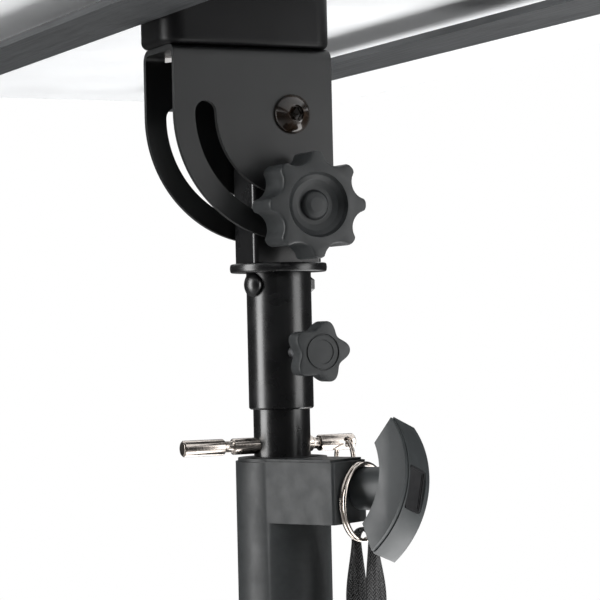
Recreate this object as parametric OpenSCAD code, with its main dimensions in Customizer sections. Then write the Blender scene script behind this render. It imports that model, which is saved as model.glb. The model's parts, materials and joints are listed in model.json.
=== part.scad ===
// Flat LED panel light on a tilting bracket, a 35 mm pole socket and a weighted floor stand.
// Z is up, the tilt axis lies along Y, and the origin is on the floor under the post.

/* [Stand] */
// Height of the tilt axis above the floor, stand lowered
pivot_h = 1012; // [900:1:1200]
// Diameter of the steel base plate
base_d = 500; // [420:5:560]
// Thickness of the steel base plate
base_t = 10; // [8:1:14]
// Height of the rubber feet under the plate
foot_h = 6; // [4:1:10]
// Outside diameter of the fixed lower tube
tube_d = 50; // [50:1:52]
// Outside diameter of the sliding post
post_d = 35; // [34.8:0.1:35.2]
// Wall of the sliding post
post_wall = 2; // [1.5:0.5:3]
// How far the post can be drawn out
post_travel = 500; // [200:10:500]

/* [Clamp collar] */
// Height of the collar above its bottom edge
collar_h = 38.5; // [36:0.5:46]
// Radius of the collar and its sleeve
collar_r = 29; // [28.5:0.5:32]
// Length of the moulded sleeve below the collar
sleeve_l = 95; // [60:5:160]
// Distance from the post axis to the end face of the clamp lug
lug_reach = 55.5; // [54:0.5:62]
// Compass angle of the clamp handle about the post
handle_angle = -60; // [-70:1:-50]
// Turn of the handle grip about its own screw
grip_turn = -18.2; // [-25:0.1:25]
// Thickness of the handle grip
grip_t = 28; // [22:1:32]

/* [Pole socket] */
// Outside diameter of the pole socket
socket_d = 40; // [40:0.5:42]
// Length of the pole socket below its flange
socket_l = 84; // [70:0.5:100]
// Diameter of the flange on top of the socket
flange_d = 60; // [56:1:64]
// Thickness of the flange
flange_t = 5.5; // [4:0.5:8]
// Drop from the tilt axis to the top of the flange
flange_drop = 90; // [88:0.5:110]

/* [Tilt bracket] */
// Width of the rectangular upright between the ears
yoke_w = 46; // [40:1:48]
// Depth of the rectangular upright between the ears
yoke_d = 30; // [26:1:32]
// Radius of the quarter-round ears
ear_r = 77; // [72:1:80]
// Reach of the ears on the side away from the slots
ear_reach = 27.5; // [25:0.5:32]
// Outside width over both ears
ears_over = 48; // [46:1:52]
// Sheet thickness of the bracket
sheet_t = 3.5; // [3:0.5:4]
// Height of the bracket web above the tilt axis
web_h = 41; // [38:1:48]
// Radius from the tilt axis to the middle of the slot
slot_r = 57; // [52:1:60]
// Width of the slot
slot_w = 14; // [12:0.5:16]

/* [Panel] */
// Width of the panel across the tilt axis
panel_w = 610; // [560:5:640]
// Length of the panel along the tilt axis
panel_l = 1160; // [1080:5:1240]
// Thickness of the panel
panel_t = 14; // [14:1:20]
// Offset of the panel centre from the post axis
panel_x = 17; // [0:1:30]
// Height of the rear face above the tilt axis
panel_h = 74; // [72:1:84]
// Width of a mounting rail
rail_w = 47; // [40:1:50]
rail_l = 980; // [900:5:1100]
// Thickness of a mounting rail
rail_t = 4.5; // [3:0.5:6]
// Height of the underside of the rails above the tilt axis
rail_h = 55.5; // [54:0.5:58]
// Distance between the centre lines of the rails
rail_pitch = 249.5; // [240:0.5:280]

/* [Driver block] */
// End of the driver block on the slotted side
block_x0 = -82; // [-84:1:-78]
// End of the driver block on the plain side
block_x1 = 30; // [28:1:34]
// Width of the driver block along the tilt axis
block_l = 50; // [46:1:56]

/* [Hidden] */
$fn = 64;

run_gap = 0.06;                 // radial clearance of a running fit
air = 0.3;                      // gap between pieces of different bodies
fit = 0.1;                      // gap between pieces of one body
bolt_r = 5;                     // shank radius of the M10 screws
stop_turn = 14.5;               // turn of the stop screw from the X axis
pin_r = 5;
screw_angles = [45, 135, 225, 315];
screw_pcr = 44;                 // pitch radius of the column screws
plate_z = foot_h;
column_z = foot_h + base_t;
collar_top = pivot_h - 209;
collar_bottom = collar_top - collar_h;
sleeve_bottom = collar_bottom - sleeve_l;
post_r = post_d / 2;
post_bottom = collar_top - 660;
socket_top = pivot_h - flange_drop - flange_t;
socket_bottom = socket_top - socket_l;
stop_z = socket_top - 7.5;
post_top = stop_z - 7.5;
pin_z = pivot_h - 201.5;
star_z = pivot_h - 144.7;
handle_z = collar_top - 18.3;
ear_y = ears_over / 2;
ear_in = ear_y - sheet_t;
spacer_t = ear_in - yoke_d / 2 - air;
block_z = web_h;
block_mid = (block_x0 + block_x1) / 2;
block_w = block_x1 - block_x0;
block_h = panel_h - web_h;
rail_left_x = panel_x - rail_pitch / 2;
rail_right_x = panel_x + rail_pitch / 2;
standoff_h = panel_h - rail_h - rail_t;
standoff_ys = [-470, -300, 300, 470];
pan_floor = 1.2;
pan_rim = 6;
frame_wall = 10;
web_bolt_xs = [block_mid - 36, block_mid + 36];
web_bolt_ys = [-13, 13];
post_hole_zs = [for (k = [0:5]) pin_z - 60 * k];
hub_r = 13;
hub_end = lug_reach + 21;
grip_out = hub_end + 19.5;      // outermost point of the grip
ring_r = 23;                    // centre-line radius of the ring on the handle hub
ring_wire = 1.4;
ring_x = lug_reach + 2.9;
ring_z = handle_z - (ring_r - ring_wire - hub_r - 0.5);
strap_w = 22;
strap_t = 1.4;
strap_fold = 6.4;               // inside radius where the webbing folds over the ring
strap_l = 145;
pin_ring_r = 11.5;
pin_ring_x = 43;
control_z = panel_h - block_h / 2;
rocker_x = block_mid - 18;
rocker_y = block_l / 2 - 3;
rocker_swing = 14;
dimmer_x = block_mid + 6.5;
inlet_x = block_mid + 26;

// ---------------------------------------------------------------- shared shapes

module tube(r_out, r_in, h) {
    difference() {
        cylinder(r = r_out, h = h);
        translate([0, 0, -1]) cylinder(r = r_in, h = h + 2);
    }
}

module along_y(r, y0, y1) {
    translate([0, y0, 0]) rotate([-90, 0, 0]) cylinder(r = r, h = y1 - y0);
}

module along_x(r, x0, x1) {
    translate([x0, 0, 0]) rotate([0, 90, 0]) cylinder(r = r, h = x1 - x0);
}

module box(w, l, h) {
    translate([-w / 2, -l / 2, 0]) cube([w, l, h]);
}

module round_rect(w, l, r) {
    union() {
        square([w - 2 * r, l], center = true);
        square([w, l - 2 * r], center = true);
        for (sx = [-1, 1], sy = [-1, 1])
            translate([sx * (w / 2 - r), sy * (l / 2 - r)]) circle(r = r);
    }
}

module at_handle() {
    translate([0, 0, handle_z]) rotate([0, 0, handle_angle]) children();
}

module at_pivot() {
    translate([0, 0, pivot_h]) children();
}

// ---------------------------------------------------------------- base and lower tube

module base_plate() color([0.09, 0.09, 0.10])
    translate([0, 0, plate_z]) difference() {
        rotate_extrude($fn = 128) union() {
            square([base_d / 2 - 3, base_t]);
            translate([0, 3]) square([base_d / 2, base_t - 6]);
            for (z = [3, base_t - 3]) translate([base_d / 2 - 3, z]) circle(r = 3);
        }
        for (a = screw_angles) rotate(a) translate([screw_pcr, 0, -1]) cylinder(r = 4.3, h = base_t + 2);
    }

module base_feet() color([0.05, 0.05, 0.05])
    for (k = [0:5]) rotate(72 * k + 90) translate([k < 5 ? base_d / 2 - 32 : 0, 0, 0]) union() {
        cylinder(r = 14, h = foot_h - 1.5);
        cylinder(r = 11, h = foot_h);
    }

module column_flange() color([0.08, 0.08, 0.09])
    translate([0, 0, column_z]) difference() {
        union() {
            cylinder(r = 62, h = 8);
            cylinder(r = tube_d / 2 + 6, h = 40);
        }
        translate([0, 0, 2]) cylinder(r = tube_d / 2 + fit, h = 40);
        for (a = screw_angles) rotate(a) translate([screw_pcr, 0, -1]) cylinder(r = 4.3, h = 20);
    }

module column_screws() color([0.6, 0.6, 0.62])
    for (a = screw_angles) rotate(a) translate([screw_pcr, 0, 0]) union() {
        translate([0, 0, 1.2]) cylinder(r = 4.1, h = column_z + 8);
        translate([0, 0, column_z + 8 + fit]) cylinder(r = 7.5, h = 6.5, $fn = 6);
        translate([0, 0, 1.2]) cylinder(r = 7.5, h = foot_h - 1.2 - fit, $fn = 6);
    }

module lower_tube() color([0.07, 0.07, 0.08])
    difference() {
        translate([0, 0, column_z + 2 + fit])
            tube(tube_d / 2, tube_d / 2 - 2, collar_top - 12 - column_z - 2 - fit);
        at_handle() along_x(bolt_r + 0.5, post_r, tube_d);
    }

// ---------------------------------------------------------------- clamp collar

module lug_outline() {
    corner = 7;
    union() {
        translate([0, -28]) square([lug_reach - 2, 40 - corner]);
        translate([0, -26]) square([lug_reach, 38 - corner]);
        translate([lug_reach - 2, -26]) circle(r = 2);
        translate([0, -28]) square([lug_reach - corner, 40]);
        translate([lug_reach - corner, 12 - corner]) circle(r = corner);
    }
}

module clamp_collar() color([0.16, 0.165, 0.17])
    difference() {
        union() {
            translate([0, 0, sleeve_bottom]) cylinder(r = collar_r, h = collar_top - sleeve_bottom - 2);
            translate([0, 0, collar_top - 2]) cylinder(r = collar_r - 1.5, h = 2);
            translate([0, 0, collar_bottom]) rotate([0, 0, handle_angle])
                linear_extrude(collar_h - 1.5) lug_outline();
            translate([0, 0, collar_top - 1.6]) rotate([0, 0, handle_angle])
                linear_extrude(1.6) translate([0, -26.5]) square([lug_reach - 3, 34]);
        }
        translate([0, 0, sleeve_bottom - 1])
            cylinder(r = tube_d / 2 + fit, h = collar_top - 10 - sleeve_bottom + 1);
        translate([0, 0, collar_top - 12]) cylinder(r = post_r + 4.2, h = 20);
        at_handle() along_x(8.2, tube_d / 2 - 2, lug_reach - 3);
        at_handle() along_x(5.6, lug_reach - 4, lug_reach + 2);
    }

module guide_bush() color([0.12, 0.12, 0.12])
    difference() {
        union() {
            translate([0, 0, collar_top - 13]) cylinder(r = post_r + 4, h = 13.5);
            translate([0, 0, collar_bottom - 30]) cylinder(r = tube_d / 2 - 2 - fit, h = collar_h + 18);
        }
        translate([0, 0, collar_bottom - 40]) cylinder(r = post_r + run_gap, h = collar_h + 60);
        at_handle() along_x(9.2, post_r - 4, tube_d / 2 + 3);
    }

module handle_nut() color([0.72, 0.60, 0.32])
    at_handle() difference() {
        along_x(8, tube_d / 2 + 3, lug_reach - 4.2);
        along_x(bolt_r + run_gap, tube_d / 2, lug_reach);
    }

module clamp_shoe() color([0.85, 0.84, 0.80])
    at_handle() intersection() {
        along_x(7, post_r - 3, post_r + 3.4);
        translate([0, 0, -20]) tube(post_r + 3.4, post_r + 0.35, 40);
    }

module handle_screw() color([0.65, 0.65, 0.67])
    at_handle() along_x(bolt_r, post_r + 3.8, hub_end + 4);

module grip_outline() {
    intersection() {
        difference() {
            translate([grip_out - 60, 0]) circle(r = 60, $fn = 128);
            translate([hub_end - 47, 0]) circle(r = 47, $fn = 128);
        }
        translate([hub_end - 20.8, 0]) polygon([[0, 0], [60, 106.7], [90, 0], [60, -106.7]]);
    }
}

module handle_grip() color([0.17, 0.175, 0.18])
    at_handle() rotate([grip_turn, 0, 0]) difference() {
        union() {
            rotate([90, 0, 0]) translate([0, 0, -grip_t / 2]) linear_extrude(grip_t) grip_outline();
            along_x(hub_r, lug_reach + 0.6, hub_end + 3);
        }
        along_x(bolt_r + 0.05, 0, hub_end + 4.1);
        translate([grip_out - 2.6, -9.4, -13.9]) cube([6, 18.8, 27.8]);
    }

module handle_badge() color([0.10, 0.10, 0.11])
    at_handle() rotate([grip_turn, 0, 0]) difference() {
        translate([grip_out - 2.5, -9, -13.5]) cube([1.1, 18, 27]);
        translate([grip_out - 1.9, -5, -7.5]) cube([1, 10, 15]);
    }

// ---------------------------------------------------------------- post and safety pin

module post() color([0.05, 0.05, 0.055])
    difference() {
        translate([0, 0, post_bottom]) tube(post_r, post_r - post_wall, post_top - post_bottom);
        for (z = post_hole_zs)
            translate([0, 0, z]) along_x(pin_r + run_gap, -post_r - 2, post_r + 2);
    }

module post_guide() color([0.12, 0.12, 0.12])
    union() {
        translate([0, 0, post_bottom - 12]) cylinder(r = tube_d / 2 - 2 - 0.35, h = 12 - fit);
        translate([0, 0, post_bottom - 1]) cylinder(r = post_r - post_wall - fit, h = 25);
    }

module post_cap() color([0.08, 0.08, 0.08])
    union() {
        translate([0, 0, post_top + fit]) cylinder(r = post_r - 0.5, h = 2.5);
        translate([0, 0, post_top - 18]) cylinder(r = post_r - post_wall - fit, h = 19);
    }

module safety_pin() color([0.78, 0.76, 0.73])
    translate([0, 0, pin_z]) difference() {
        union() {
            along_x(pin_r - 0.8, -67, 49);
            along_x(pin_r, -66.2, -39);
            along_x(pin_r, -33.5, 20.5);
            along_x(pin_r, 25, 48.2);
            along_x(pin_r - 1.6, -40, -33);
        }
        translate([pin_ring_x, 0, 0]) along_y(3.4, -10, 10);
    }

module pin_ring() color([0.80, 0.79, 0.76])
    translate([pin_ring_x, 0, pin_z + 1.5 - pin_ring_r]) rotate([0, 90, 0])
        rotate_extrude() for (s = [-0.75, 0.75]) translate([pin_ring_r, s]) circle(r = 0.8, $fn = 16);

module hanging_ring() color([0.80, 0.79, 0.76])
    translate([0, 0, ring_z]) rotate([0, 0, handle_angle]) translate([ring_x, 0, 0]) rotate([0, 90, 0])
        rotate_extrude() for (s = [-1.2, 1.2]) translate([ring_r, s]) circle(r = ring_wire, $fn = 16);

module strap() color([0.06, 0.06, 0.065])
    translate([0, 0, ring_z - ring_r]) rotate([0, 0, handle_angle]) translate([ring_x, 0, 0]) union() {
        for (x = [-strap_fold - strap_t, strap_fold])
            translate([x, -strap_w / 2, -strap_l]) cube([strap_t, strap_w, strap_l]);
        for (flip = [0, 1]) translate([0, 0, -flip * strap_l]) mirror([0, 0, flip]) difference() {
            along_y(strap_fold + strap_t, -strap_w / 2, strap_w / 2);
            along_y(strap_fold, -strap_w, strap_w);
            translate([-20, -20, -40]) cube(40);
        }
    }

// ---------------------------------------------------------------- pole socket and yoke

module pole_socket() color([0.06, 0.06, 0.065])
    difference() {
        translate([0, 0, socket_bottom]) tube(socket_d / 2, post_r + run_gap, socket_l);
        translate([0, 0, star_z]) along_y(4 + run_gap, -socket_d, 0);
        translate([0, 0, stop_z]) rotate([0, 0, stop_turn]) along_x(3 + fit, -socket_d, socket_d);
        translate([0, 0, stop_z]) rotate([0, 0, stop_turn]) along_x(5.7, -socket_d, -socket_d / 2 - 0.2);
        translate([0, 0, stop_z]) rotate([0, 0, stop_turn]) along_x(5.7, socket_d / 2 + 0.2, socket_d);
    }

module socket_flange() color([0.06, 0.06, 0.065])
    translate([0, 0, socket_top]) rotate_extrude() union() {
        square([flange_d / 2 - 2, flange_t]);
        translate([0, 2]) square([flange_d / 2, flange_t - 4]);
        for (z = [2, flange_t - 2]) translate([flange_d / 2 - 2, z]) circle(r = 2, $fn = 24);
    }

module yoke() color([0.06, 0.06, 0.065])
    at_pivot() difference() {
        translate([0, 0, -flange_drop]) linear_extrude(flange_drop + 22) round_rect(yoke_w, yoke_d, 3);
        translate([0, 0, -flange_drop - 1])
            linear_extrude(flange_drop + 20) round_rect(yoke_w - 6, yoke_d - 6, 1);
        along_y(bolt_r + fit, -40, 40);
        translate([0, 0, -slot_r]) along_y(bolt_r + fit, -40, 40);
    }

module stop_bolt() color([0.30, 0.30, 0.31])
    translate([0, 0, stop_z]) rotate([0, 0, stop_turn]) union() {
        along_x(3, -socket_d / 2 - 1, socket_d / 2 + 6);
        translate([-socket_d / 2 - 0.2, 0, 0]) intersection() {
            along_x(7.2, -6, 0.1);
            translate([5.3, 0, 0]) sphere(r = 9.9);
        }
        translate([socket_d / 2 + 0.2, 0, 0]) rotate([0, 90, 0]) cylinder(r = 5.6, h = 5, $fn = 6);
    }

module tilt_bolt() color([0.6, 0.6, 0.62])
    at_pivot() translate([0, 0, -slot_r]) union() {
        along_y(bolt_r, -ear_y - 20, ear_y + 3);
        along_y(9.5, ear_y + 2.6, ear_y + 7.6);
    }

module tilt_washers() color([0.7, 0.7, 0.72])
    at_pivot() translate([0, 0, -slot_r]) difference() {
        union() {
            along_y(14, ear_y + air, ear_y + 2.5);
            along_y(14, -ear_y - 2.5, -ear_y - air);
        }
        along_y(bolt_r + fit, -40, 40);
    }

module spacer_washers() color([0.85, 0.84, 0.80])
    at_pivot() for (z = [0, -slot_r], side = [-1, 1])
        translate([0, 0, z]) difference() {
            if (side > 0) along_y(14, yoke_d / 2, yoke_d / 2 + spacer_t);
            else along_y(14, -yoke_d / 2 - spacer_t, -yoke_d / 2);
            along_y(bolt_r + fit, -40, 40);
        }

module pivot_bolt() color([0.12, 0.10, 0.09])
    at_pivot() difference() {
        union() {
            along_y(bolt_r, -ear_y - 2, ear_y + 12);
            translate([0, -ear_y - air, 0]) rotate([90, 0, 0]) intersection() {
                translate([0, 0, -8]) sphere(r = 15.5);
                cylinder(r = 12, h = 8);
            }
        }
        translate([0, -ear_y - 9, 0]) rotate([-90, 0, 0]) cylinder(r = 4.6, h = 6, $fn = 6);
    }

module pivot_nut() color([0.55, 0.55, 0.57])
    at_pivot() difference() {
        union() {
            along_y(11, ear_y + air, ear_y + 2.3);
            translate([0, ear_y + 2.3, 0]) rotate([-90, 0, 0]) cylinder(r = 9.8, h = 7.5, $fn = 6);
            along_y(7.6, ear_y + 9, ear_y + 11.5);
        }
        along_y(bolt_r + 0.05, 0, 60);
    }

// ---------------------------------------------------------------- knobs

module star_knob() color([0.16, 0.165, 0.17])
    translate([0, 0, star_z]) rotate([90, 0, 0]) difference() {
        union() {
            translate([0, 0, 46]) linear_extrude(12.5) difference() {
                circle(r = 19);
                for (k = [0:4]) rotate(72 * k + 54) translate([22.5, 0]) circle(r = 9.5);
            }
            translate([0, 0, 40]) cylinder(r = 9, h = 7);
        }
        translate([0, 0, 39]) cylinder(r = 4.05, h = 14.1);
        translate([0, 0, 57.5]) cylinder(r = 10.1, h = 3);
    }

module star_screw() color([0.75, 0.75, 0.76])
    translate([0, 0, star_z]) along_y(4, -53, -post_r - 0.5);

module star_badge() color([0.13, 0.13, 0.14])
    translate([0, 0, star_z]) rotate([90, 0, 0]) translate([0, 0, 57.6]) tube(10, 7, 1.0);

module tilt_knob() color([0.10, 0.10, 0.105])
    at_pivot() translate([0, -ear_y, -slot_r]) rotate([90, 0, 0]) difference() {
        union() {
            translate([0, 0, 8]) linear_extrude(26) difference() {
                circle(r = 32.5);
                for (k = [0:7]) rotate(45 * k + 22.5) translate([37, 0]) circle(r = 9.5);
            }
            translate([0, 0, 2.9]) cylinder(r = 17, h = 6);
        }
        translate([0, 0, 28]) rotate_extrude()
            polygon([[9, 0], [16, 0], [20.5, 6.5], [0, 6.5], [0, 3], [5.5, 2]]);
        cylinder(r = 8.05, h = 22.1);
    }

module tilt_knob_insert() color([0.72, 0.60, 0.32])
    at_pivot() translate([0, -ear_y, -slot_r]) rotate([90, 0, 0])
        translate([0, 0, 3]) tube(8, bolt_r + run_gap, 19);

// ---------------------------------------------------------------- tilt bracket

module ear_outline() {
    difference() {
        union() {
            intersection() {
                circle(r = ear_r, $fn = 128);
                translate([-ear_r, -ear_r]) square([ear_r, ear_r]);
            }
            translate([-ear_r, 0]) square([ear_r, web_h - 2]);
            translate([0, -ear_r]) square([ear_reach, ear_r + web_h - 2]);
        }
        translate([ear_reach, -ear_r]) difference() {
            translate([-14, -1]) square([15, 15]);
            translate([-14, 14]) circle(r = 14);
        }
        circle(r = bolt_r + 0.4);
        intersection() {
            difference() {
                circle(r = slot_r + slot_w / 2, $fn = 128);
                circle(r = slot_r - slot_w / 2, $fn = 128);
            }
            translate([-ear_r, -ear_r]) square([ear_r, ear_r]);
        }
        translate([-slot_r, 0]) circle(r = slot_w / 2);
        translate([0, -slot_r]) circle(r = slot_w / 2);
    }
}

module bracket_channel(width, top, bend) {
    translate([-ear_r, 0, 0]) rotate([90, 0, 90]) linear_extrude(ear_r + ear_reach) union() {
        translate([-width / 2, -ear_r - 1]) square([width, ear_r + 1 + top - bend]);
        translate([-width / 2 + bend, 0]) square([width - 2 * bend, top]);
        for (s = [-1, 1]) translate([s * (width / 2 - bend), top - bend]) circle(r = bend);
    }
}

module tilt_bracket() color([0.08, 0.08, 0.085])
    at_pivot() intersection() {
        difference() {
            bracket_channel(ears_over, web_h, 7.5);
            bracket_channel(ears_over - 2 * sheet_t, web_h - sheet_t, 4);
            for (x = web_bolt_xs, y = web_bolt_ys)
                translate([x, y, 0]) cylinder(r = 3.3, h = web_h + 5);
        }
        rotate([90, 0, 0]) translate([0, 0, -ear_y - 1]) linear_extrude(ears_over + 2) union() {
            ear_outline();
            translate([-ear_r, web_h - 3]) square([ear_r + ear_reach, 4]);
        }
    }

module bracket_bolts() color([0.55, 0.55, 0.57])
    at_pivot() for (x = web_bolt_xs, y = web_bolt_ys)
        translate([x, y, 0]) union() {
            translate([0, 0, web_h - sheet_t - 4.1]) cylinder(r = 5.2, h = 4, $fn = 6);
            translate([0, 0, web_h - sheet_t - 3]) cylinder(r = 3, h = panel_h - web_h + sheet_t + 3 + 4);
        }

// ---------------------------------------------------------------- driver block

module driver_block() color([0.05, 0.05, 0.055])
    at_pivot() difference() {
        translate([block_mid, 0, block_z]) union() {
            translate([0, 0, 4.5]) linear_extrude(block_h - 4.5 - fit) round_rect(block_w, block_l, 12);
            translate([0, 0, 1.3]) linear_extrude(4) round_rect(block_w - 2.6, block_l - 2.6, 11);
            linear_extrude(2) round_rect(block_w - 8, block_l - 8, 9);
        }
        difference() {
            translate([block_mid, 0, block_z + 3])
                linear_extrude(block_h) round_rect(block_w - 6, block_l - 6, 9);
            for (x = web_bolt_xs, y = web_bolt_ys) translate([x, y, 0]) cylinder(r = 6, h = panel_h);
        }
        for (x = web_bolt_xs, y = web_bolt_ys) translate([x, y, 0]) cylinder(r = 3.3, h = panel_h + 5);
        translate([inlet_x, 0, control_z]) along_y(6.1, 15, block_l);
        translate([rocker_x - 10.6, block_l / 2 - 10, control_z - 7.1]) cube([21.2, 12, 14.2]);
        translate([dimmer_x, 0, control_z]) along_y(4.1, block_l / 2 - 8, block_l);
    }

module driver_board() color([0.10, 0.30, 0.14])
    at_pivot() translate([block_mid - 4, 0, block_z + 6]) union() {
        box(46, 34, 1.6);
        translate([-13, -7, 1.5]) box(16, 14, 14);
        translate([3, -8, 1.5]) cylinder(r = 6, h = 16);
        translate([16, -8, 1.5]) cylinder(r = 5, h = 13);
    }

module power_inlet() color([0.09, 0.09, 0.09])
    at_pivot() translate([inlet_x, 0, control_z]) difference() {
        union() {
            along_y(6, block_l / 2 - 8, block_l / 2);
            along_y(8.5, block_l / 2 + fit, block_l / 2 + 2.2);
            along_y(6, block_l / 2 - 1, block_l / 2 + 1);
        }
        along_y(4.2, block_l / 2 - 7, block_l / 2 + 5);
    }

module rocker_frame() color([0.06, 0.06, 0.06])
    at_pivot() translate([rocker_x, block_l / 2, control_z]) difference() {
        union() {
            translate([-10.5, -9, -7]) cube([21, 9.5, 14]);
            translate([-12.5, fit, -8.5]) cube([25, 1.6, 17]);
        }
        translate([-8.8, -8, -5.6]) cube([17.6, 12, 11.2]);
        translate([0, rocker_y - block_l / 2, -6.4]) cylinder(r = 1.5 + fit, h = 12.8);
    }

module power_rocker() color([0.08, 0.08, 0.08])
    at_pivot() translate([rocker_x, rocker_y, control_z]) rotate([0, 0, -rocker_swing / 2]) union() {
        translate([0, 0, -5.2]) linear_extrude(10.4)
            polygon([[-7.8, -2.5], [7.8, -2.5], [7.8, 4.6], [0, 3.4], [-7.8, 4.6]]);
        translate([0, 0, -6.2]) cylinder(r = 1.5, h = 12.4);
    }

module dimmer_pot() color([0.35, 0.35, 0.36])
    at_pivot() translate([dimmer_x, 0, control_z]) difference() {
        along_y(7, block_l / 2 - 12, block_l / 2 - 3 - fit);
        along_y(3 + run_gap, block_l / 2 - 8, block_l / 2);
    }

module dimmer_shaft() color([0.7, 0.7, 0.72])
    at_pivot() translate([dimmer_x, 0, control_z]) along_y(3, block_l / 2 - 7, block_l / 2 + 9);

module dimmer_knob() color([0.07, 0.07, 0.07])
    at_pivot() translate([dimmer_x, block_l / 2 + 0.5, control_z]) rotate([-90, 0, 0]) difference() {
        union() {
            linear_extrude(12) difference() {
                circle(r = 7.8);
                for (k = [0:11]) rotate(30 * k) translate([8.5, 0]) circle(r = 1.4, $fn = 24);
            }
            cylinder(r = 8.8, h = 2);
        }
        translate([0, 0, -1]) cylinder(r = 3.05, h = 10.5);
        translate([-10, -0.6, 11.2]) cube([8, 1.2, 2]);
    }

// ---------------------------------------------------------------- rails

module rail(x) {
    at_pivot() translate([x, 0, rail_h]) difference() {
        box(rail_w, rail_l, rail_t);
        for (y = standoff_ys) translate([0, y, -1]) cylinder(r = 2.7, h = rail_t + 2);
    }
}

module rail_left() color([0.20, 0.20, 0.205]) rail(rail_left_x);
module rail_right() color([0.20, 0.20, 0.205]) rail(rail_right_x);

module rail_standoffs() color([0.6, 0.6, 0.62])
    at_pivot() for (x = [rail_left_x, rail_right_x], y = standoff_ys)
        translate([x, y, rail_h + rail_t]) tube(7, 2.7, standoff_h - 0.05);

module rail_screws() color([0.15, 0.15, 0.15])
    at_pivot() for (x = [rail_left_x, rail_right_x], y = standoff_ys)
        translate([x, y, rail_h]) union() {
            translate([0, 0, -2.6]) cylinder(r = 4.8, h = 2.6);
            translate([0, 0, -1]) cylinder(r = 2.5, h = panel_h - rail_h + 4);
        }

module rail_nuts() color([0.7, 0.7, 0.72])
    at_pivot() for (x = [rail_left_x, rail_right_x], y = standoff_ys)
        translate([x, y, panel_h + pan_floor + 0.05]) tube(4.5, 2.55, 2.8);

// ---------------------------------------------------------------- panel

module panel_box(inset, z0, z1) {
    translate([panel_x, 0, panel_h + z0]) box(panel_w - 2 * inset, panel_l - 2 * inset, z1 - z0);
}

module at_frame_screws() {
    for (side = [-1, 1], y = [-panel_l / 2 + 60, 0, panel_l / 2 - 60])
        translate([panel_x + side * (panel_w / 2 - 3), y, panel_h + 3.6]) children();
}

module rear_pan() color([0.86, 0.865, 0.87])
    at_pivot() difference() {
        panel_box(0, 0, pan_rim);
        panel_box(1.2, pan_floor, pan_rim + 1);
        for (x = [rail_left_x, rail_right_x], y = standoff_ys)
            translate([x, y, panel_h - 1]) cylinder(r = 2.7, h = 4);
        for (x = web_bolt_xs, y = web_bolt_ys) translate([x, y, panel_h - 1]) cylinder(r = 3.3, h = 4);
        at_frame_screws() along_x(1.7, -7, 7);
    }

module backing_plate() color([0.6, 0.6, 0.62])
    at_pivot() difference() {
        translate([block_mid, 0, panel_h + pan_floor + 0.05]) box(block_w + 40, block_l + 40, 3);
        for (x = web_bolt_xs, y = web_bolt_ys) translate([x, y, panel_h]) cylinder(r = 3.05, h = 10);
    }

module foam_pads() color([0.15, 0.15, 0.15])
    at_pivot() for (y = [-panel_l / 3, -panel_l / 6, panel_l / 6, panel_l / 3])
        translate([panel_x, y, panel_h + pan_floor + 0.05]) box(panel_w - 80, 40, 3);

module reflector() color([0.95, 0.95, 0.95])
    at_pivot() panel_box(frame_wall + 3, pan_floor + 3.2, pan_floor + 3.7);

module light_guide() color([0.85, 0.93, 0.95, 0.5])
    at_pivot() panel_box(frame_wall + 4, pan_floor + 3.8, pan_floor + 7.8);

module led_strips() color([0.95, 0.92, 0.70])
    at_pivot() for (side = [-1, 1])
        translate([panel_x + side * (panel_w / 2 - frame_wall - 2.8), 0, panel_h + pan_floor + 3.8])
            box(1.6, panel_l - 2 * frame_wall - 20, 4);

module diffuser() color([0.97, 0.97, 0.96])
    at_pivot() panel_box(frame_wall + 3, pan_floor + 7.9, panel_t - 1.7);

module panel_frame() color([0.80, 0.81, 0.82])
    at_pivot() difference() {
        panel_box(1.3, pan_floor + 0.05, panel_t);
        panel_box(frame_wall + 1.6, 0, panel_t - 1.6);
        panel_box(frame_wall + 8, 0, panel_t + 1);
        at_frame_screws() along_x(1.7, -7, 7);
    }

module frame_screws() color([0.5, 0.5, 0.52])
    at_pivot() at_frame_screws() along_x(1.6, -3, 3);

// ---------------------------------------------------------------- which nodes to draw

base_plate();
base_feet();
column_flange();
column_screws();
lower_tube();
clamp_collar();
guide_bush();
handle_nut();
clamp_shoe();
post();
post_guide();
post_cap();
safety_pin();
pin_ring();
hanging_ring();
strap();
handle_grip();
handle_screw();
handle_badge();
pole_socket();
socket_flange();
yoke();
stop_bolt();
tilt_bolt();
tilt_washers();
spacer_washers();
pivot_bolt();
pivot_nut();
star_knob();
star_screw();
star_badge();
tilt_knob();
tilt_knob_insert();
tilt_bracket();
bracket_bolts();
driver_block();
driver_board();
power_inlet();
rocker_frame();
power_rocker();
dimmer_pot();
dimmer_shaft();
dimmer_knob();
rail_left();
rail_right();
rail_standoffs();
rail_screws();
rail_nuts();
rear_pan();
backing_plate();
foam_pads();
reflector();
light_guide();
led_strips();
diffuser();
panel_frame();
frame_screws();
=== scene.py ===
"""Finished pieces of a flat LED panel light: tilting bracket, pole socket, post and clamp collar.

The file is laid out as an add-on. Each piece or group of like pieces has one operator, and main()
calls them in order round the fixed frame. Lengths are in metres.
"""

import json
from math import atan2, cos, pi, radians, sin, sqrt

import bpy
from bpy.props import FloatProperty, FloatVectorProperty, IntProperty, PointerProperty
from bpy.types import Operator, Panel, PropertyGroup
from mathutils import Matrix, Vector


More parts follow.
